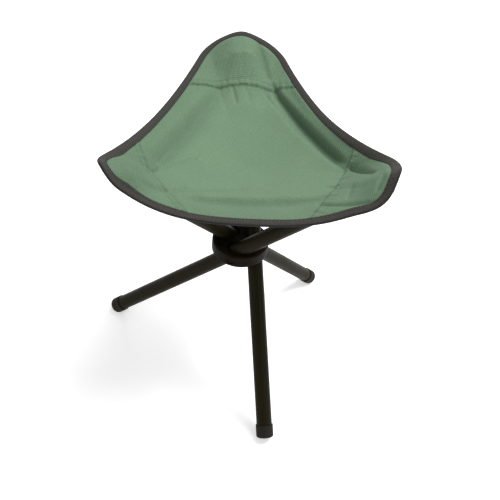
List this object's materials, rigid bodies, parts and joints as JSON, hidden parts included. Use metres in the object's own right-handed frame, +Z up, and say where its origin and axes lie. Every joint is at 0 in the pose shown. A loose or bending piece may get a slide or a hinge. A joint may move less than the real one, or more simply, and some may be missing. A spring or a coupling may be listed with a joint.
{
  "type": "folding tripod stool",
  "caption": "Low folding stool: crossed tube legs pivot in a round hub and spread a three-cornered cloth seat with a bound edge.",
  "frame": {"origin": "on the ground under the middle of the open stool's box; the hub's axis stands at x 6.45 mm, y -4.3 mm", "axes": "+Z up, +Y towards the seat corner that leg a carries, +X along leg a's pivot pin outwards"},
  "size_m": [0.2752, 0.298, 0.3062],
  "materials": {
    "hub_plastic": "satin",
    "pin_steel": "blackened",
    "tube_paint": "satin",
    "foot_rubber": "matte",
    "cap_plastic": "matte",
    "seat_cloth": "plain weave",
    "edge_tape": "woven tape"
  },
  "bodies": {
    "hub": {"hub_body": "hub_plastic", "pivot_pin_a": "pin_steel", "pivot_pin_b": "pin_steel", "pivot_pin_c": "pin_steel", "seat_panel": "seat_cloth", "edge_tape_ab": "edge_tape", "edge_tape_bc": "edge_tape", "edge_tape_ca": "edge_tape"},
    "leg_a": {"leg_tube_a": "tube_paint", "foot_cap_a": "foot_rubber", "top_cap_a": "cap_plastic"},
    "leg_b": {"leg_tube_b": "tube_paint", "foot_cap_b": "foot_rubber", "top_cap_b": "cap_plastic"},
    "leg_c": {"leg_tube_c": "tube_paint", "foot_cap_c": "foot_rubber", "top_cap_c": "cap_plastic"},
    "pocket_a": {"corner_pocket_a": "seat_cloth"},
    "pocket_b": {"corner_pocket_b": "seat_cloth"},
    "pocket_c": {"corner_pocket_c": "seat_cloth"}
  },
  "joints": [
    {"name": "fold", "type": "hinge", "parent": "hub", "child": "leg_a", "pos_m": [0.02065, -0.0043, 0.15182], "axis": [1, 0, 0], "range_deg": [0, 43.5], "deforming": ["seat_panel", "edge_tape_ab", "edge_tape_bc", "edge_tape_ca", "corner_pocket_a", "corner_pocket_b", "corner_pocket_c"]},
    {"name": "fold_b", "type": "hinge", "parent": "hub", "child": "leg_b", "pos_m": [-0.00065, 0.008, 0.15182], "axis": [-0.5, 0.866, 0], "range_deg": [0, 43.5]},
    {"name": "fold_c", "type": "hinge", "parent": "hub", "child": "leg_c", "pos_m": [-0.00065, -0.0166, 0.15182], "axis": [-0.5, -0.866, 0], "range_deg": [0, 43.5]},
    {"name": "pocket_turn_a", "type": "hinge", "parent": "leg_a", "child": "pocket_a", "pos_m": [0.02065, 0.12442, 0.28747], "axis": [0.1783, -0.8472, -0.5004], "range_deg": [0, 89.6]},
    {"name": "pocket_turn_b", "type": "hinge", "parent": "leg_b", "child": "pocket_b", "pos_m": [-0.11213, -0.05636, 0.28747], "axis": [0.6446, 0.578, -0.5004], "range_deg": [0, 89.6]},
    {"name": "pocket_turn_c", "type": "hinge", "parent": "leg_c", "child": "pocket_c", "pos_m": [0.11083, -0.08096, 0.28747], "axis": [-0.8229, 0.2692, -0.5004], "range_deg": [0, 89.6]}
  ],
  "couplings": [
    {"joint": "fold_b", "follows": "fold", "ratio": 1},
    {"joint": "fold_c", "follows": "fold", "ratio": 1},
    {"joint": "pocket_turn_a", "follows": "fold", "ratio": 2.0596},
    {"joint": "pocket_turn_b", "follows": "fold", "ratio": 2.0596},
    {"joint": "pocket_turn_c", "follows": "fold", "ratio": 2.0596}
  ]
}
